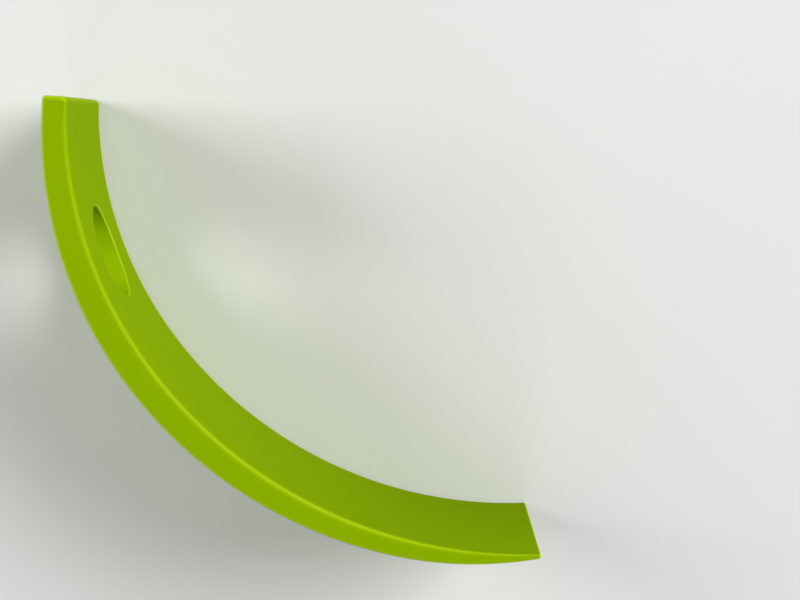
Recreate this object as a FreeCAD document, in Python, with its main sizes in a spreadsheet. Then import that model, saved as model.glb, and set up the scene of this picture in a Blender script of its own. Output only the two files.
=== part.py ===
import FreeCAD, Part

import math
import os

import Sketcher

# A balancing wine bottle holder: one curved bar, thick at the belly and thin
# at both ends, with a round hole near its upper end. The bar lies on its side.
# X runs along the hole, from the bar's back to the tip of its foot, Y runs up
# the holder as it stands in use, and Z runs across the bar's width. The origin
# is in the middle of the bar's outline, on the side face that it lies on.

# Driving dimensions, in millimetres and degrees.
SIZES = (
    ("holder_length", 167.0, "back of the curve to the tip of the foot"),
    ("holder_height", 157.0, "lowest point of the foot to the upper end"),
    ("holder_width", 70.0, "across the bar"),
    ("outer_upper_radius", 140.0, "outside of the bar above the belly"),
    ("outer_lower_radius", 150.0, "outside of the bar below the belly"),
    ("belly_angle", 36.7, "slope of the line across the thickest place"),
    ("belly_wall", 10.4, "thickness at the belly"),
    ("top_wall", 8.0, "thickness at the upper end"),
    ("tip_wall", 1.6, "thickness at the tip of the foot"),
    ("toe_radius", 127.0, "underside of the foot, which the bar rocks on in use"),
    ("toe_length", 52.0, "length of the foot that the toe radius takes"),
    ("top_slope", 2.9, "slope of the upper end, down towards the inside"),
    ("top_skew", 3.5, "fall of the upper end across the width"),
    ("neck_bore", 31.0, "diameter of the hole"),
    ("bore_height", 101.9, "axis of the hole above the foot's lowest point"),
    ("rim_round", 0.6, "rounding of the hole's rims"),
    ("end_round", 2.4, "corners of the upper end, seen from the side"),
    ("tip_round", 0.7, "corners of the tip, seen from the side"),
    ("edge_round", 1.2, "long edges from the upper end to the belly"),
    ("tip_edge_round", 0.6, "long edges at the tip"),
)

# Places closer than this are the same place.
NEAR = 0.01

# A rounding takes at most this share of the wall, or of the corner, it is on.
WALL_SHARE = 0.45
CORNER_SHARE = 0.5

# Points looked at on an edge, to tell whether it goes round the hole.
RIM_POINTS = 5

# How a sketch counts its own origin, and the points of a line or an arc.
ORIGIN = (-1, 1)
START, END, CENTRE = 1, 2, 3


def make_sheet(doc):
    """Put the driving dimensions in a spreadsheet, each cell with its alias."""
    sheet = doc.addObject("Spreadsheet::Sheet", "Sizes")
    for row, (alias, value, note) in enumerate(SIZES, start=1):
        sheet.set("A%d" % row, alias)
        sheet.set("B%d" % row, str(value))
        sheet.set("C%d" % row, note)
        sheet.setAlias("B%d" % row, alias)
    doc.recompute()
    return sheet


def add_sketch(body, name, role):
    """Add a sketch on one of the body's own origin planes."""
    sketch = body.newObject("Sketcher::SketchObject", name)
    for feature in body.Origin.OriginFeatures:
        if feature.Role == role:
            sketch.AttachmentSupport = [(feature, "")]
    sketch.MapMode = "FlatFace"
    return sketch


def drive(sketch, name, expression, *constraint):
    """Add one dimension to a sketch and bind it to the sheet."""
    index = sketch.addConstraint(Sketcher.Constraint(*constraint))
    sketch.renameConstraint(index, name)
    sketch.setExpression("Constraints." + name, expression)


def turn(centre, point):
    """Angle of a point about a centre, from 0 to a full turn."""
    return math.atan2(point.y - centre.y, point.x - centre.x) % (2 * math.pi)


def arc(centre, start, end):
    """Arc about a centre, anticlockwise from start to end."""
    circle = Part.Circle(centre, FreeCAD.Vector(0, 0, 1), (start - centre).Length)
    return Part.ArcOfCircle(circle, turn(centre, start), turn(centre, end))


def below(centre, radius, x):
    """Lower point of a circle at x."""
    return FreeCAD.Vector(x, centre.y - math.sqrt(radius ** 2 - (x - centre.x) ** 2), 0)


def centre_on(line, start, end):
    """Centre on a line through start of the arc that also passes end."""
    chord = end - start
    return start + line * (chord.Length ** 2 / (2 * chord.dot(line)))


def profile_points(size):
    """Work out where the side outline's corners and arc centres start from."""
    half_length = size.holder_length / 2
    half_height = size.holder_height / 2
    slope = math.radians(size.belly_angle)
    across = FreeCAD.Vector(math.cos(slope), math.sin(slope), 0)
    step = across * (size.outer_lower_radius - size.outer_upper_radius)
    lower_x = size.outer_upper_radius - half_length + step.x
    toe_x = half_length - size.toe_length
    lean = (toe_x - lower_x) / size.outer_lower_radius
    toe_line = FreeCAD.Vector(lean, -math.sqrt(1 - lean ** 2), 0)
    toe_y = size.toe_radius - half_height
    toe = FreeCAD.Vector(toe_x - lean * size.toe_radius, toe_y, 0)
    toe_start = toe + toe_line * size.toe_radius
    lower = toe_start - toe_line * size.outer_lower_radius
    upper = lower - step
    belly_out = upper - across * size.outer_upper_radius
    belly_in = belly_out + across * size.belly_wall
    rise = half_height - upper.y
    top_x = upper.x - math.sqrt(size.outer_upper_radius ** 2 - rise ** 2)
    top_out = FreeCAD.Vector(top_x, half_height, 0)
    fall = math.radians(size.top_slope)
    top_line = FreeCAD.Vector(math.cos(fall), -math.sin(fall), 0)
    top_in = top_out + top_line * size.top_wall
    tip_out = below(toe, size.toe_radius, half_length)
    tip_in = tip_out + FreeCAD.Vector(0, size.tip_wall, 0)
    return {
        "upper": upper,
        "lower": lower,
        "toe": toe,
        "inner_upper": centre_on(across, belly_in, top_in),
        "inner_lower": centre_on(across, belly_in, tip_in),
        "belly_out": belly_out,
        "belly_in": belly_in,
        "top_out": top_out,
        "top_in": top_in,
        "toe_start": toe_start,
        "tip_out": tip_out,
        "tip_in": tip_in,
    }


def draw_profile(body, at):
    """Side outline: three tangent arcs outside, two inside, and two end cuts."""
    sketch = add_sketch(body, "SideProfile", "XY_Plane")
    add = sketch.addGeometry
    outer_upper = add(arc(at["upper"], at["top_out"], at["belly_out"]))
    outer_lower = add(arc(at["lower"], at["belly_out"], at["toe_start"]))
    toe = add(arc(at["toe"], at["toe_start"], at["tip_out"]))
    tip = add(Part.LineSegment(at["tip_out"], at["tip_in"]))
    inner_lower = add(arc(at["inner_lower"], at["belly_in"], at["tip_in"]))
    inner_upper = add(arc(at["inner_upper"], at["top_in"], at["belly_in"]))
    top = add(Part.LineSegment(at["top_in"], at["top_out"]))
    belly = add(Part.LineSegment(at["belly_out"], at["lower"]), True)

    for first, second in (
        ((outer_upper, END), (outer_lower, START)),
        ((toe, END), (tip, START)),
        ((tip, END), (inner_lower, END)),
        ((inner_lower, START), (inner_upper, END)),
        ((inner_upper, START), (top, START)),
        ((top, END), (outer_upper, START)),
        ((belly, START), (outer_upper, END)),
        ((belly, END), (outer_lower, CENTRE)),
    ):
        sketch.addConstraint(Sketcher.Constraint("Coincident", *first, *second))
    for point in (
        (outer_upper, CENTRE),
        (inner_upper, CENTRE),
        (inner_lower, CENTRE),
        (inner_lower, START),
    ):
        sketch.addConstraint(Sketcher.Constraint("PointOnObject", *point, belly))
    sketch.addConstraint(Sketcher.Constraint("Tangent", outer_lower, END, toe, START))
    sketch.addConstraint(Sketcher.Constraint("Vertical", tip))

    drive(sketch, "OuterUpper", "Sizes.outer_upper_radius",
          "Radius", outer_upper, at["upper"].distanceToPoint(at["top_out"]))
    drive(sketch, "OuterLower", "Sizes.outer_lower_radius",
          "Radius", outer_lower, at["lower"].distanceToPoint(at["belly_out"]))
    drive(sketch, "Toe", "Sizes.toe_radius",
          "Radius", toe, at["toe"].distanceToPoint(at["toe_start"]))
    drive(sketch, "Belly", "Sizes.belly_angle",
          "Angle", belly, turn(at["belly_out"], at["lower"]))
    drive(sketch, "BellyWall", "Sizes.belly_wall",
          "Distance", outer_upper, END, inner_upper, END,
          at["belly_out"].distanceToPoint(at["belly_in"]))
    drive(sketch, "Back", "Sizes.outer_upper_radius - Sizes.holder_length / 2",
          "DistanceX", *ORIGIN, outer_upper, CENTRE, at["upper"].x)
    drive(sketch, "Bottom", "Sizes.toe_radius - Sizes.holder_height / 2",
          "DistanceY", *ORIGIN, toe, CENTRE, at["toe"].y)
    drive(sketch, "TopHeight", "Sizes.holder_height / 2",
          "DistanceY", *ORIGIN, top, END, at["top_out"].y)
    drive(sketch, "TipReach", "Sizes.holder_length / 2",
          "DistanceX", *ORIGIN, tip, START, at["tip_out"].x)
    drive(sketch, "TopSlope", "180 - Sizes.top_slope",
          "Angle", top, turn(at["top_in"], at["top_out"]))
    drive(sketch, "TopWall", "Sizes.top_wall",
          "Distance", top, START, top, END, at["top_in"].distanceToPoint(at["top_out"]))
    drive(sketch, "TipWall", "Sizes.tip_wall",
          "DistanceY", tip, START, tip, END, at["tip_in"].y - at["tip_out"].y)
    drive(sketch, "ToeLength", "Sizes.toe_length",
          "DistanceX", toe, START, toe, END, at["tip_out"].x - at["toe_start"].x)
    return sketch


def pad_bar(body, sketch):
    """Give the side outline the bar's width."""
    bar = body.newObject("PartDesign::Pad", "Bar")
    bar.Profile = sketch
    bar.setExpression("Length", "Sizes.holder_width")
    body.Document.recompute()


def face_names(shape, wanted):
    """Names of the faces that a test picks."""
    return ["Face%d" % n for n, face in enumerate(shape.Faces, start=1) if wanted(face)]


def slant_end(body, size):
    """Tilt the upper end, so that it falls away from the side face on top."""
    bar = body.Tip
    end_level = size.holder_height / 2 - size.top_wall

    def side_on_top(face):
        return face.BoundBox.ZMin > size.holder_width - NEAR

    def upper_end(face):
        return face.BoundBox.YMin > end_level

    slant = body.newObject("PartDesign::Draft", "EndSlant")
    slant.Base = (bar, face_names(bar.Shape, upper_end))
    slant.NeutralPlane = (bar, face_names(bar.Shape, side_on_top))
    slant.Reversed = True
    slant.setExpression("Angle", "atan(Sizes.top_skew / Sizes.holder_width)")
    body.Document.recompute()
    if slant.Shape.Volume > bar.Shape.Volume - NEAR:
        raise RuntimeError("EndSlant takes nothing off")


def draw_bore(body, size):
    """Round hole, in the middle of the bar's width."""
    sketch = add_sketch(body, "BoreProfile", "YZ_Plane")
    height = size.bore_height - size.holder_height / 2
    middle = FreeCAD.Vector(height, size.holder_width / 2, 0)
    circle = Part.Circle(middle, FreeCAD.Vector(0, 0, 1), size.neck_bore / 2)
    bore = sketch.addGeometry(circle)
    drive(sketch, "Bore", "Sizes.neck_bore", "Diameter", bore, size.neck_bore)
    drive(sketch, "Height", "Sizes.bore_height - Sizes.holder_height / 2",
          "DistanceX", *ORIGIN, bore, CENTRE, height)
    drive(sketch, "Middle", "Sizes.holder_width / 2",
          "DistanceY", *ORIGIN, bore, CENTRE, size.holder_width / 2)
    return sketch


def cut_bore(body, sketch):
    """Cut the hole right through the bar, and see that it cut."""
    before = body.Tip.Shape.Volume
    bore = body.newObject("PartDesign::Pocket", "NeckBore")
    bore.Profile = sketch
    bore.SideType = "Symmetric"
    bore.setExpression("Length", "2 * Sizes.holder_length")
    body.Document.recompute()
    if bore.Shape.Volume > before - NEAR:
        raise RuntimeError("NeckBore cuts nothing")


def edge_names(shape, wanted):
    """Names of the edges that a test picks."""
    return ["Edge%d" % n for n, edge in enumerate(shape.Edges, start=1) if wanted(edge)]


def round_edges(body, name, radius, wanted):
    """Round the edges that a test picks, with one radius."""
    base = body.Tip
    fillet = body.newObject("PartDesign::Fillet", name)
    fillet.Base = (base, edge_names(base.Shape, wanted))
    fillet.setExpression("Radius", radius)
    body.Document.recompute()


def round_corners(body, size):
    """Round the hole's rims and the corners of the side outline's two ends."""
    axis = FreeCAD.Vector(0, size.bore_height - size.holder_height / 2,
                          size.holder_width / 2)
    end_level = size.holder_height / 2 - size.top_skew - size.top_wall
    tip_level = size.holder_length / 2

    def on_rim(edge):
        points = edge.discretize(RIM_POINTS)
        away = [math.hypot(p.y - axis.y, p.z - axis.z) for p in points]
        level = max(abs(reach - size.neck_bore / 2) for reach in away) < NEAR
        return edge.isClosed() and level

    def spans_width(edge):
        return edge.BoundBox.ZLength > size.holder_width / 2

    def at_upper_end(edge):
        return spans_width(edge) and edge.BoundBox.YMin > end_level

    def at_tip(edge):
        return spans_width(edge) and edge.BoundBox.XMin > tip_level - NEAR

    end_limit = "min(Sizes.end_round; %g * Sizes.top_wall)" % WALL_SHARE
    tip_limit = "min(Sizes.tip_round; %g * Sizes.tip_wall)" % WALL_SHARE
    round_edges(body, "RimRound", "Sizes.rim_round", on_rim)
    round_edges(body, "EndRound", end_limit, at_upper_end)
    round_edges(body, "TipRound", tip_limit, at_tip)


def side_radius(point, belly, size):
    """Radius of the long edges: full down to the belly, then less to the tip."""
    end_corner = min(size.end_round, WALL_SHARE * size.top_wall)
    tip_corner = min(size.tip_round, WALL_SHARE * size.tip_wall)
    full = min(size.edge_round, CORNER_SHARE * end_corner)
    least = min(size.tip_edge_round, CORNER_SHARE * tip_corner, full)
    run = (point.x - belly.x) / (size.holder_length / 2 - belly.x)
    below_belly = point.y < belly.y and point.x > belly.x
    return full + (least - full) * run if below_belly else full


def round_sides(body, belly, size):
    """Round both side faces all the way round, with a radius that varies.

    The edges go in order from the upper end to the tip, because the radii hold
    only when each edge of a smooth run follows the one before it.
    """
    numbered = enumerate(body.Shape.Edges, start=1)
    in_order = sorted(numbered, key=lambda pair: pair[1].CenterOfMass.x)
    edges = []
    for number, edge in in_order:
        box = edge.BoundBox
        if box.ZMax < NEAR or box.ZMin > size.holder_width - NEAR:
            ends = [edge.firstVertex(True).Point, edge.lastVertex(True).Point]
            edges.append((number, *[side_radius(end, belly, size) for end in ends]))
    fillet = body.Document.addObject("Part::Fillet", "SideRound")
    fillet.Base = body
    fillet.Edges = edges
    return fillet


def make_holder(doc, size):
    """The whole holder, as one solid."""
    at = profile_points(size)
    body = doc.addObject("PartDesign::Body", "Body")
    body.Label = "holder_before_side_rounding"
    pad_bar(body, draw_profile(body, at))
    slant_end(body, size)
    cut_bore(body, draw_bore(body, size))
    round_corners(body, size)
    holder = round_sides(body, at["belly_in"], size)
    holder.Label = "holder"
    return holder


def check(doc, pieces):
    """Stop if any step failed, or if a piece isn't one sound solid."""
    for item in doc.Objects:
        if "Invalid" in item.State or "Error" in item.State:
            raise RuntimeError("%s failed: %s" % (item.Name, item.State))
    for piece in pieces:
        shape = piece.Shape
        if shape.isNull() or not shape.isValid() or len(shape.Solids) != 1:
            raise RuntimeError("%s isn't one sound solid" % piece.Label)


def main():
    doc = FreeCAD.newDocument("BottleHolder")
    sheet = make_sheet(doc)
    pieces = [make_holder(doc, sheet)]
    doc.recompute()
    check(doc, pieces)
    os.makedirs("parts", exist_ok=True)
    for piece in pieces:
        piece.Shape.exportStep("parts/%s.step" % piece.Label)
        print(piece.Label, "%.0f mm3" % piece.Shape.Volume, len(piece.Shape.Faces), "faces")


main()
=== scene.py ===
"""Balancing wine bottle holder, lying on its side on a pale floor."""

import math

import bpy
from mathutils import Matrix, Vector


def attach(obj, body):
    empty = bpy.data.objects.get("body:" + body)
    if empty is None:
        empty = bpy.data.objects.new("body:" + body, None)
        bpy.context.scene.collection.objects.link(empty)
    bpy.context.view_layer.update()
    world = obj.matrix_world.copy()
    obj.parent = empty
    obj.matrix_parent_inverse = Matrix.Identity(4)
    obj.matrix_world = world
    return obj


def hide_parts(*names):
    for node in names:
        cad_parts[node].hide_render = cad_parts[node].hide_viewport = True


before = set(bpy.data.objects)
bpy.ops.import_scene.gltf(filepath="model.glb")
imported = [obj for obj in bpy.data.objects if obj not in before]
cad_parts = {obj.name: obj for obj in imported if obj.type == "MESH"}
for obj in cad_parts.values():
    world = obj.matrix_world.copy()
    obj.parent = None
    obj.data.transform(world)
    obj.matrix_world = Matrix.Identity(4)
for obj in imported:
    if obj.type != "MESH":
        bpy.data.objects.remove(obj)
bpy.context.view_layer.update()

# Side outline of the bar, in metres and degrees. The outline lies in the XY
# plane, and the bar's width runs along Z.
LENGTH = 0.1670
HEIGHT = 0.1570
WIDTH = 0.0700
OUTER_UPPER = 0.1400
OUTER_LOWER = 0.1500
BELLY_ANGLE = 36.7
BELLY_WALL = 0.0104
TOP_WALL = 0.0080
TIP_WALL = 0.0016
TOE_RADIUS = 0.1270
TOE_LENGTH = 0.0520
TOP_SLOPE = 2.9
TOP_SKEW = 0.0035
BORE_RADIUS = 0.0155
BORE_HEIGHT = 0.1019

# Roundings: corners of the outline's two ends, long edges and the hole's rims.
TOP_OUT_CORNER = 0.0012
TOP_IN_CORNER = 0.0020
TIP_CORNER = 0.0006
INNER_EDGE_ROUND = 0.0024
OUTER_EDGE_ROUND = 0.0010
TIP_EDGE_ROUND = 0.0005
RIM_ROUND = 0.0007

# Height below the upper end in which the inner edges reach their full rounding,
# and the power by which all long edges lose theirs from the belly to the tip.
TOP_EDGE_RUN = 0.0100
TIP_EDGE_POWER = 3

# How finely the mesh is divided. A row is a place along the bar, and a column
# one across its width.
ROWS_ABOVE_HOLE = 20
ROWS_BESIDE_HOLE = 44
ROWS_BELOW_HOLE = 120
COLUMNS = 48
COLUMNS_OUTSIDE_HOLE = 6
ROUND_STEPS = 6
CAP_STEPS = 4
SIDE_STEPS = 4
RIM_RINGS = 10
WALL_RINGS = 8

# How much large faces count in the shading, from 1 to 100.
LARGE_FACE_WEIGHT = 100

# Height above and below the hole's axis that its rings of faces take, and the
# power by which the rings crowd towards the rim.
HOLE_MARGIN = 0.0265
RIM_CROWDING = 1.6

# Painted highlight on the long inner edges: how strong it is at their ends and
# between them, where the other edges' painted highlight is 1, and how narrow
# that painted line is.
INNER_EDGE_END_HIGHLIGHT = 0.42
INNER_EDGE_MIDDLE_HIGHLIGHT = 0.82
INNER_EDGE_SHARPNESS = 6

# How close to the end face the painted highlight round the outline's corners lies.
CORNER_SHARPNESS = 2.5

# Camera, in metres, degrees and millimetres of lens. It looks down on the holder
# from the side that the photograph shows, a little from above the upper end.
CAMERA_PLACE = Vector((0.02866, 0.09804, 0.66824))
CAMERA_AIM = Vector((0.03508, 0.00703, 0.03500))
CAMERA_ROLL = 0.639
CAMERA_LENS = 81.91
CAMERA_CLIP_START = 0.01

# Lamps: name, place, width and height in metres, and power in watts.
LAMPS = (
    ("key", (2.18, 1.12, 1.68), 1.8, 1.8, 85),
    ("fill", (0.30, -2.25, 0.30), 1.8, 0.9, 15),
    ("rim", (-1.35, 0.38, 0.67), 0.8, 0.6, 15),
)
LAMP_AIM = (0, 0, 0.03)

# Strength of the world as the camera sees it, and as it lights the holder.
WORLD = 0.8
WORLD_FOR_BOUNCES = 0.21

# Colours as they show on screen, from 0 to 255.
LIME = (139, 174, 0)
# LIME_PALE: colour of the painted edge highlight, the paler clouds and the specular tint.
LIME_PALE = (186, 214, 30)
FLOOR = (232, 232, 230)
FLOOR_FOR_BOUNCES = (129, 129, 127)

FLOOR_SIZE = 8.0
FLOOR_ROUGHNESS = 0.9
FLOOR_SPECULAR = 0.1

# The plastic: a faint cloudiness and a fine grain, as noise scale and detail,
# how far the painted edge highlight and the clouds shift the colour towards the
# pale one, the roughness, and the grain's height in metres.
CLOUD = (22, 2)
GRAIN = (1800, 3)
PAINTED_EDGE_HIGHLIGHT = 0.8
CLOUD_TINT = 0.06
LEAST_ROUGHNESS = 0.58
MOST_ROUGHNESS = 0.68
CLOUD_ROUGHNESS = 0.03
GRAIN_STRENGTH = 0.12
GRAIN_HEIGHT = 0.00004
PLASTIC_SPECULAR = 0.008

# The inner face is on the hollow side of the bar.
INNER, OUTER = 1, -1


def toward(angle):
    """Unit vector at an angle from +X."""
    return Vector((math.cos(angle), math.sin(angle)))


def direction(vector):
    """Angle of a vector from +X."""
    return math.atan2(vector.y, vector.x)


def turn(start, end):
    """Shorter way round from one angle to another."""
    return (end - start + math.pi) % (2 * math.pi) - math.pi


def below(centre, radius, x):
    """Lower point of a circle at x."""
    return Vector((x, centre.y - math.sqrt(radius ** 2 - (x - centre.x) ** 2)))


def left_of(centre, radius, y):
    """Left point of a circle at y."""
    return Vector((centre.x - math.sqrt(radius ** 2 - (y - centre.y) ** 2), y))


def centre_on(line, start, end):
    """Centre on a line through start of the arc that also passes end."""
    chord = end - start
    return start + line * (chord.length_squared / (2 * chord.dot(line)))


# The outline's arcs: each is a centre and a radius.
across = toward(math.radians(BELLY_ANGLE))
centre_step = across * (OUTER_LOWER - OUTER_UPPER)
toe_x = LENGTH / 2 - TOE_LENGTH
toe_lean = (toe_x - OUTER_UPPER + LENGTH / 2 - centre_step.x) / OUTER_LOWER
toe_line = Vector((toe_lean, -math.sqrt(1 - toe_lean ** 2)))
toe = Vector((toe_x - toe_lean * TOE_RADIUS, TOE_RADIUS - HEIGHT / 2))
toe_start = toe + toe_line * TOE_RADIUS
outer_lower = toe_start - toe_line * OUTER_LOWER
outer_upper = outer_lower - centre_step
belly_out = outer_upper - across * OUTER_UPPER
belly_in = belly_out + across * BELLY_WALL
top_out = left_of(outer_upper, OUTER_UPPER, HEIGHT / 2)
top_fall = math.radians(TOP_SLOPE)
end_line = toward(-top_fall)
end_face = Vector((math.sin(top_fall), math.cos(top_fall)))
top_in = top_out + end_line * TOP_WALL
tip_out = below(toe, TOE_RADIUS, LENGTH / 2)
tip_in = tip_out + Vector((0, TIP_WALL))
inner_upper = centre_on(across, belly_in, top_in)
inner_lower = centre_on(across, belly_in, tip_in)
INNER_UPPER = (belly_in - inner_upper).length
INNER_LOWER = (belly_in - inner_lower).length

bore_y = BORE_HEIGHT - HEIGHT / 2
hole_top = bore_y + HOLE_MARGIN
hole_bottom = bore_y - HOLE_MARGIN

# Below the hole, each row lies on a ray from this point, so that the first row
# is level and the last one stands upright at the tip.
hub = Vector((LENGTH / 2, hole_bottom))

# The closed outline has the rows of the outer face, the points of the tip, the
# rows of the inner face and the points of the upper end.
ROWS = ROWS_ABOVE_HOLE + ROWS_BESIDE_HOLE + ROWS_BELOW_HOLE + 1
CAP_POINTS = 2 * (ROUND_STEPS - 1) + CAP_STEPS + 1
LOOP = 2 * (ROWS + CAP_POINTS)

# Levels across the width, and the rows and levels between which the hole is.
LEVELS = 2 * (ROUND_STEPS + 1) + COLUMNS - 1
HOLE_FIRST = ROWS_ABOVE_HOLE
HOLE_LAST = ROWS_ABOVE_HOLE + ROWS_BESIDE_HOLE
HOLE_LOW = ROUND_STEPS + COLUMNS_OUTSIDE_HOLE
HOLE_HIGH = ROUND_STEPS + COLUMNS - COLUMNS_OUTSIDE_HOLE


def end_hit(centre, radius, depth):
    """Where a circle meets a line at a depth below the upper end on the near side."""
    rise = end_face.dot(top_out - centre) - depth
    return centre + end_face * rise - end_line * math.sqrt(radius ** 2 - rise ** 2)


def ray_hit(centre, radius, angle):
    """Where a ray from the hub meets a circle that it starts inside."""
    way = toward(angle)
    away = hub - centre
    along = away.dot(way)
    return hub + way * (math.sqrt(along ** 2 - away.length_squared + radius ** 2) - along)


def hub_angle(point):
    """Direction of a point from the hub, from 0 to a full turn."""
    return math.atan2(point.y - hub.y, point.x - hub.x) % (2 * math.pi)


def outer_at(angle):
    """Point and outward normal of the outer face, on a ray from the hub."""
    centre, radius = outer_upper, OUTER_UPPER
    if angle > hub_angle(belly_out):
        centre, radius = outer_lower, OUTER_LOWER
    if angle > hub_angle(toe_start):
        centre, radius = toe, TOE_RADIUS
    point = ray_hit(centre, radius, angle)
    return point, (point - centre).normalized()


def inner_at(angle):
    """Point and outward normal of the inner face, on a ray from the hub."""
    centre, radius = inner_upper, INNER_UPPER
    if angle > hub_angle(belly_in):
        centre, radius = inner_lower, INNER_LOWER
    point = ray_hit(centre, radius, angle)
    return point, (centre - point).normalized()


def level_rows(centre, radius, top, face):
    """Points and normals of one face, from its top to below the hole."""
    heights = []
    for number in range(ROWS_ABOVE_HOLE):
        heights.append(top + (hole_top - top) * (number / ROWS_ABOVE_HOLE))
    for number in range(ROWS_BESIDE_HOLE):
        heights.append(hole_top + (hole_bottom - hole_top) * number / ROWS_BESIDE_HOLE)
    points = [left_of(centre, radius, y) for y in heights]
    return [(point, (centre - point).normalized() * face) for point in points]


def ray_rows(face_at, last):
    """Points and normals of one face, from below the hole to an angle at the tip."""
    shares = [number / ROWS_BELOW_HOLE for number in range(ROWS_BELOW_HOLE + 1)]
    return [face_at(math.pi + (last - math.pi) * share) for share in shares]


def rounding(centre, radius, face_centre, face):
    """A corner's rounding, with the way from its centre to the face beside it."""
    return centre, radius, (face_centre - centre).normalized() * face


def touch_height(rounded):
    """Height at which a corner's rounding meets the face beside it."""
    centre, radius, way = rounded
    return centre.y + way.y * radius


def touch_angle(rounded):
    """Direction from the hub to where a corner's rounding meets the face."""
    centre, radius, way = rounded
    return hub_angle(centre + way * radius)


def corner(centre, radius, start, end):
    """Points and normals round one corner, between the two directions given."""
    turned = turn(start, end)
    made = []
    for number in range(1, ROUND_STEPS):
        normal = toward(start + turned * number / ROUND_STEPS)
        made.append((centre + normal * radius, normal))
    return made


def cap(first, end_way, last):
    """Points and normals round one corner, along the end and round the other."""
    centre, radius, way = first
    last_centre, last_radius, last_way = last
    start = centre + end_way * radius
    end = last_centre + end_way * last_radius
    flat = [start.lerp(end, number / CAP_STEPS) for number in range(CAP_STEPS + 1)]
    made = corner(centre, radius, direction(way), direction(end_way))
    made += [(point, end_way) for point in flat]
    return made + corner(last_centre, last_radius, direction(end_way), direction(last_way))


def outline(z):
    """Closed outline at one place across the width: points with normals.

    It runs down the outer face, round the tip, up the inner face and round
    the upper end.
    """
    depth = TOP_SKEW * (1 - z / WIDTH)
    reach = LENGTH / 2 - TIP_CORNER
    upper_out = rounding(
        end_hit(outer_upper, OUTER_UPPER - TOP_OUT_CORNER, depth + TOP_OUT_CORNER),
        TOP_OUT_CORNER, outer_upper, OUTER)
    upper_in = rounding(
        end_hit(inner_upper, INNER_UPPER + TOP_IN_CORNER, depth + TOP_IN_CORNER),
        TOP_IN_CORNER, inner_upper, INNER)
    lower_out = rounding(below(toe, TOE_RADIUS - TIP_CORNER, reach), TIP_CORNER, toe, OUTER)
    lower_in = rounding(
        below(inner_lower, INNER_LOWER + TIP_CORNER, reach), TIP_CORNER, inner_lower, INNER)

    outer = level_rows(outer_upper, OUTER_UPPER, touch_height(upper_out), OUTER)
    outer += ray_rows(outer_at, touch_angle(lower_out))
    inner = level_rows(inner_upper, INNER_UPPER, touch_height(upper_in), INNER)
    inner += ray_rows(inner_at, touch_angle(lower_in))
    tip_cap = cap(lower_out, Vector((1, 0)), lower_in)
    top_cap = cap(upper_in, end_face, upper_out)
    return outer + tip_cap + inner[::-1] + top_cap


def inner_index(row):
    """Place in the outline of a row's point on the inner face."""
    return ROWS + CAP_POINTS + ROWS - 1 - row


def is_inner(place):
    """Whether a place of the outline is on the inner face."""
    return inner_index(ROWS - 1) <= place <= inner_index(0)


def corner_highlight(place):
    """Painted highlight at a place of the outline: 1 at most round a corner, and 0 off it."""
    number = (place - ROWS) % (ROWS + CAP_POINTS)
    if number >= CAP_POINTS:
        return 0
    steps = min(number, CAP_POINTS - 1 - number) + 1
    return math.sin(math.pi * min(steps / ROUND_STEPS, 1) ** CORNER_SHARPNESS)


def inner_edge_highlight(place):
    """Painted highlight on a long inner edge at a place of the outline."""
    share = (place - inner_index(ROWS - 1)) / (ROWS - 1)
    rise = INNER_EDGE_MIDDLE_HIGHLIGHT - INNER_EDGE_END_HIGHLIGHT
    return INNER_EDGE_END_HIGHLIGHT + rise * math.sin(math.pi * share)


def edge_round(place, point):
    """Radius of a long edge, which goes down to the tip's from the belly on.

    The inner edges are rounder than the outer ones, except at the upper end.
    """
    full = INNER_EDGE_ROUND if is_inner(place) else OUTER_EDGE_ROUND
    if point.x < belly_in.x or point.y > belly_in.y:
        run = max(min((HEIGHT / 2 - point.y) / TOP_EDGE_RUN, 1), 0)
        return OUTER_EDGE_ROUND + (full - OUTER_EDGE_ROUND) * run
    run = (point.x - belly_in.x) / (LENGTH / 2 - belly_in.x)
    return full + (TIP_EDGE_ROUND - full) * run ** TIP_EDGE_POWER


def width_levels(radius):
    """Steps from the far side face to the near one: each an inset and a z."""
    quarter = [math.pi / 2 * number / ROUND_STEPS for number in range(ROUND_STEPS + 1)]
    rise = [(radius * (1 - math.sin(a)), radius * (1 - math.cos(a))) for a in quarter]
    flat = WIDTH - 2 * radius
    middle = [(0, radius + flat * number / COLUMNS) for number in range(1, COLUMNS)]
    return rise + middle + [(inset, WIDTH - z) for inset, z in reversed(rise)]


class Builder:
    """Collects vertices and faces, with the painted edge highlight at each vertex."""

    def __init__(self):
        self.places = []
        self.faces = []
        self.painted_highlight = []

    def add(self, x, y, z, pale=0.0):
        self.places.append((x, y, z))
        self.painted_highlight.append(pale)
        return len(self.places) - 1

    def between(self, start, end, share):
        """Add a vertex on the line from one vertex to another."""
        return self.add(*Vector(self.places[start]).lerp(Vector(self.places[end]), share))

    def face(self, corners, turned=False):
        self.faces.append(tuple(corners[::-1] if turned else corners))

    def bridge(self, outer, inner, turned):
        """Faces between two rings with as many points."""
        count = len(outer)
        for number in range(count):
            after = (number + 1) % count
            self.face((outer[number], outer[after], inner[after], inner[number]), turned)


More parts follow.
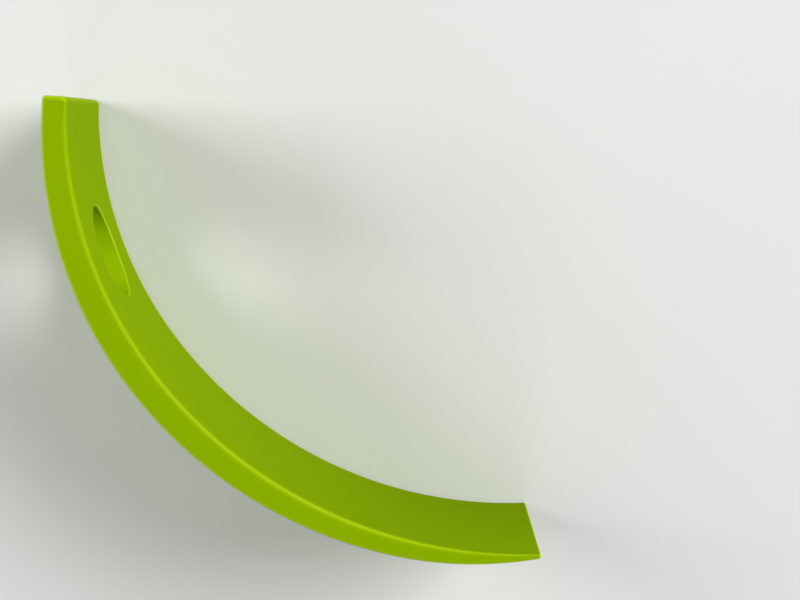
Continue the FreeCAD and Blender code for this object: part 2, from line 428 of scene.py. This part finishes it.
def build_skin(made):
    """The outline carried across the width, less the faces where the hole is."""
    far_side, near_side = outline(0), outline(WIDTH)
    steps = [width_levels(edge_round(place, near_side[place][0])) for place in range(LOOP)]
    levels = []
    for level in range(LEVELS):
        turned = min(level, LEVELS - 1 - level, ROUND_STEPS) / ROUND_STEPS
        # Painted highlight, strongest halfway round each long edge's rounding.
        edge = math.sin(math.pi * turned)
        ring = []
        for place in range(LOOP):
            edge_highlight = edge
            if is_inner(place):
                edge_highlight = edge ** INNER_EDGE_SHARPNESS * inner_edge_highlight(place)
            inset, z = steps[place][level]
            point = far_side[place][0].lerp(near_side[place][0], z / WIDTH)
            normal = far_side[place][1].lerp(near_side[place][1], z / WIDTH)
            point -= normal.normalized() * inset
            ring.append(made.add(point.x, point.y, z, max(edge_highlight, corner_highlight(place))))
        levels.append(ring)

    holed = set(range(HOLE_FIRST, HOLE_LAST))
    holed |= {inner_index(row + 1) for row in range(HOLE_FIRST, HOLE_LAST)}
    for level in range(LEVELS - 1):
        ring, above = levels[level], levels[level + 1]
        for place in range(LOOP):
            if place in holed and HOLE_LOW <= level < HOLE_HIGH:
                continue
            after = (place + 1) % LOOP
            made.face((ring[place], ring[after], above[after], above[place]))
    return levels


def build_sides(made, levels):
    """Fill the two flat side faces between the inner and the outer row."""
    for ring, turned in ((levels[0], True), (levels[-1], False)):
        rows = []
        for row in range(ROWS):
            start, end = ring[row], ring[inner_index(row)]
            inside = [made.between(start, end, n / SIDE_STEPS) for n in range(1, SIDE_STEPS)]
            rows.append([start] + inside + [end])
        for upper, lower in zip(rows, rows[1:]):
            for number in range(SIDE_STEPS):
                after = number + 1
                made.face((upper[number], lower[number], lower[after], upper[after]), turned)
        tip = ring[ROWS:ROWS + CAP_POINTS]
        top = ring[LOOP - CAP_POINTS:]
        made.face(rows[-1][:1] + tip + rows[-1][:0:-1], turned)
        made.face(rows[0][-1:] + top + rows[0][:-1], turned)


def rim_section(centre, radius, face, angle):
    """Rounding of one rim, in the plane through the hole's axis at an angle.

    Gives (x, distance from the axis) from the face to the hole's wall.
    """
    def face_x(away):
        return left_of(centre, radius, bore_y + away * math.cos(angle)).x

    away = BORE_RADIUS + RIM_ROUND
    tilt = (face_x(away + RIM_ROUND) - face_x(away - RIM_ROUND)) / (2 * RIM_ROUND)
    stretch = math.hypot(1, tilt)
    middle = face_x(away) - face * RIM_ROUND * stretch
    start = math.atan2(-face * tilt / stretch, face / stretch)
    turned = turn(start, -math.pi / 2)
    made = []
    for number in range(ROUND_STEPS + 1):
        a = start + turned * number / ROUND_STEPS
        made.append((middle + RIM_ROUND * math.cos(a), away + RIM_ROUND * math.sin(a)))
    return made


def hole_border():
    """Rows and levels round the window in the skin that the hole is in."""
    border = [(HOLE_FIRST, level) for level in range(HOLE_LOW, HOLE_HIGH)]
    border += [(row, HOLE_HIGH) for row in range(HOLE_FIRST, HOLE_LAST)]
    border += [(HOLE_LAST, level) for level in range(HOLE_HIGH, HOLE_LOW, -1)]
    return border + [(row, HOLE_LOW) for row in range(HOLE_LAST, HOLE_FIRST, -1)]


def build_rim(made, outside, centre, radius, face):
    """Rings of faces from the skin to one rim and round it. Gives the last ring."""
    angles, sections = [], []
    for vertex in outside:
        _, y, z = made.places[vertex]
        angles.append(math.atan2(z - WIDTH / 2, y - bore_y))
        sections.append(rim_section(centre, radius, face, angles[-1]))
    rings = [outside]
    for number in range(1, RIM_RINGS):
        share = 1 - (1 - number / RIM_RINGS) ** RIM_CROWDING
        ring = []
        for vertex, angle, section in zip(outside, angles, sections):
            _, y, z = made.places[vertex]
            away = section[0][1]
            y += (bore_y + away * math.cos(angle) - y) * share
            z += (WIDTH / 2 + away * math.sin(angle) - z) * share
            ring.append(made.add(left_of(centre, radius, y).x, y, z))
        rings.append(ring)
    for number in range(ROUND_STEPS + 1):
        # Painted highlight round the hole's rim, strongest halfway round its rounding.
        pale = math.sin(math.pi * number / ROUND_STEPS)
        ring = []
        for angle, section in zip(angles, sections):
            x, away = section[number]
            y = bore_y + away * math.cos(angle)
            z = WIDTH / 2 + away * math.sin(angle)
            ring.append(made.add(x, y, z, pale))
        rings.append(ring)
    for ring, after in zip(rings, rings[1:]):
        made.bridge(ring, after, face == OUTER)
    return rings[-1]


def build_hole(made, levels):
    """Both rims and the wall between them."""
    border = hole_border()
    outside = [levels[level][row] for row, level in border]
    out_wall = build_rim(made, outside, outer_upper, OUTER_UPPER, OUTER)
    outside = [levels[level][inner_index(row)] for row, level in border]
    in_wall = build_rim(made, outside, inner_upper, INNER_UPPER, INNER)

    rings = [out_wall]
    for number in range(1, WALL_RINGS):
        share = number / WALL_RINGS
        rings.append([made.between(a, b, share) for a, b in zip(out_wall, in_wall)])
    rings.append(in_wall)
    for ring, after in zip(rings, rings[1:]):
        made.bridge(ring, after, True)


def add_object(name, data):
    made = bpy.data.objects.new(name, data)
    bpy.context.scene.collection.objects.link(made)
    return made


def build_holder():
    """The whole bar as one closed mesh, with the painted highlight of its edges on the
    vertices.
    """
    made = Builder()
    levels = build_skin(made)
    build_sides(made, levels)
    build_hole(made, levels)
    mesh = bpy.data.meshes.new("holder_body")
    mesh.from_pydata(made.places, [], made.faces)
    mesh.validate()
    mesh.update()
    # The "edge" attribute holds the painted highlight of the edges and rims.
    layer = mesh.attributes.new("edge", "FLOAT", "POINT")
    layer.data.foreach_set("value", made.painted_highlight)
    mesh.shade_smooth()
    holder = add_object("holder_body", mesh)
    weighted = holder.modifiers.new("even_shading", "WEIGHTED_NORMAL")
    weighted.keep_sharp = True
    weighted.weight = LARGE_FACE_WEIGHT
    return holder


def linear(shown):
    """Turn a colour as shown on screen into the linear one that shaders take."""
    parts = [part / 255 for part in shown]
    low = [part / 12.92 for part in parts]
    high = [((part + 0.055) / 1.055) ** 2.4 for part in parts]
    chosen = [a if part <= 0.04045 else b for part, a, b in zip(parts, low, high)]
    return tuple(chosen) + (1,)


def aim(thing, place, target, roll=0.0):
    """Put a camera or lamp at a place, looking at a target, with +Y up the picture."""
    back = (place - target).normalized()
    right = Vector((0, 1, 0)).cross(back).normalized()
    axes = Matrix((right, back.cross(right), back)).transposed().to_4x4()
    turned = Matrix.Rotation(math.radians(roll), 4, "Z")
    thing.matrix_world = Matrix.Translation(place) @ axes @ turned


def add_camera():
    camera = add_object("camera", bpy.data.cameras.new("camera"))
    camera.data.lens = CAMERA_LENS
    camera.data.clip_start = CAMERA_CLIP_START
    aim(camera, CAMERA_PLACE, CAMERA_AIM, CAMERA_ROLL)
    bpy.context.scene.camera = camera


def add_lamp(name, place, width, height, power):
    lamp = add_object(name, bpy.data.lights.new(name, "AREA"))
    lamp.data.shape = "RECTANGLE"
    lamp.data.size = width
    lamp.data.size_y = height
    lamp.data.energy = power
    aim(lamp, Vector(place), Vector(LAMP_AIM))


def calculated(tree, operation, first, second):
    """Value of a sum, or of another operation, on two values."""
    made = tree.nodes.new("ShaderNodeMath")
    made.operation = operation
    tree.links.new(first, made.inputs[0])
    tree.links.new(second, made.inputs[1])
    return made.outputs[0]


def mixed(tree, share, first, second):
    """Colour between two, by a share that varies."""
    made = tree.nodes.new("ShaderNodeMix")
    made.data_type = "RGBA"
    made.inputs["A"].default_value = first
    made.inputs["B"].default_value = second
    tree.links.new(share, made.inputs["Factor"])
    return made.outputs["Result"]


def noise(tree, coordinates, scale, detail):
    made = tree.nodes.new("ShaderNodeTexNoise")
    made.inputs["Scale"].default_value = scale
    made.inputs["Detail"].default_value = detail
    tree.links.new(coordinates, made.inputs["Vector"])
    return made.outputs["Fac"]


def ranged(tree, value, low, high):
    """Value from 0 to 1 brought into another range."""
    made = tree.nodes.new("ShaderNodeMapRange")
    made.inputs["To Min"].default_value = low
    made.inputs["To Max"].default_value = high
    tree.links.new(value, made.inputs["Value"])
    return made.outputs["Result"]


def pale_to_camera(tree, shown, for_bounces):
    """Colour that is the shown one where the camera or a reflection sees it."""
    light = tree.nodes.new("ShaderNodeLightPath").outputs
    seen = calculated(tree, "MAXIMUM", light["Is Camera Ray"], light["Is Glossy Ray"])
    seen = calculated(tree, "MAXIMUM", seen, light["Is Transmission Ray"])
    return mixed(tree, seen, for_bounces, shown)


def add_material(name):
    """A new material, with its node tree and its shader's sockets."""
    material = bpy.data.materials.new(name)
    material.use_nodes = True
    tree = material.node_tree
    return material, tree, tree.nodes["Principled BSDF"].inputs


def add_floor():
    mesh = bpy.data.meshes.new("floor")
    half = FLOOR_SIZE / 2
    corners = [(-half, -half, 0), (half, -half, 0), (half, half, 0), (-half, half, 0)]
    mesh.from_pydata(corners, [], [(0, 1, 2, 3)])
    floor = add_object("floor", mesh)
    material, tree, sockets = add_material("floor")
    colour = pale_to_camera(tree, linear(FLOOR), linear(FLOOR_FOR_BOUNCES))
    tree.links.new(colour, sockets["Base Color"])
    sockets["Roughness"].default_value = FLOOR_ROUGHNESS
    sockets["Specular IOR Level"].default_value = FLOOR_SPECULAR
    floor.data.materials.append(material)


def add_world():
    world = bpy.data.worlds.new("studio")
    bpy.context.scene.world = world
    world.use_nodes = True
    tree = world.node_tree
    colour = pale_to_camera(tree, (WORLD,) * 3 + (1,), (WORLD_FOR_BOUNCES,) * 3 + (1,))
    tree.links.new(colour, tree.nodes["Background"].inputs["Color"])


def satin_lime():
    """Smooth moulded plastic with a fine grain, and painted highlights on its edges and rims.
    """
    material, tree, sockets = add_material("satin_lime")
    coordinates = tree.nodes.new("ShaderNodeTexCoord").outputs["Object"]
    edge = tree.nodes.new("ShaderNodeAttribute")
    edge.attribute_name = "edge"
    cloud = noise(tree, coordinates, *CLOUD)
    grain = noise(tree, coordinates, *GRAIN)

    # The painted edge highlight from the "edge" attribute and the clouds pale the colour.
    highlight_and_cloud = calculated(
        tree, "ADD",
        ranged(tree, edge.outputs["Fac"], 0.0, PAINTED_EDGE_HIGHLIGHT),
        ranged(tree, cloud, -CLOUD_TINT, CLOUD_TINT))
    tree.links.new(mixed(tree, highlight_and_cloud, linear(LIME), linear(LIME_PALE)), sockets["Base Color"])

    rough = calculated(
        tree, "ADD",
        ranged(tree, grain, LEAST_ROUGHNESS, MOST_ROUGHNESS),
        ranged(tree, cloud, -CLOUD_ROUGHNESS, CLOUD_ROUGHNESS))
    tree.links.new(rough, sockets["Roughness"])

    bump = tree.nodes.new("ShaderNodeBump")
    bump.inputs["Strength"].default_value = GRAIN_STRENGTH
    bump.inputs["Distance"].default_value = GRAIN_HEIGHT
    tree.links.new(grain, bump.inputs["Height"])
    tree.links.new(bump.outputs["Normal"], sockets["Normal"])
    sockets["Specular IOR Level"].default_value = PLASTIC_SPECULAR
    sockets["Specular Tint"].default_value = linear(LIME_PALE)
    return material


add_camera()
add_world()
add_floor()
for lamp in LAMPS:
    add_lamp(*lamp)

plastic = satin_lime()
holder = build_holder()
holder.data.materials.append(plastic)
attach(holder, "root")
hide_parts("holder")

bpy.context.scene.view_settings.view_transform = "Standard"
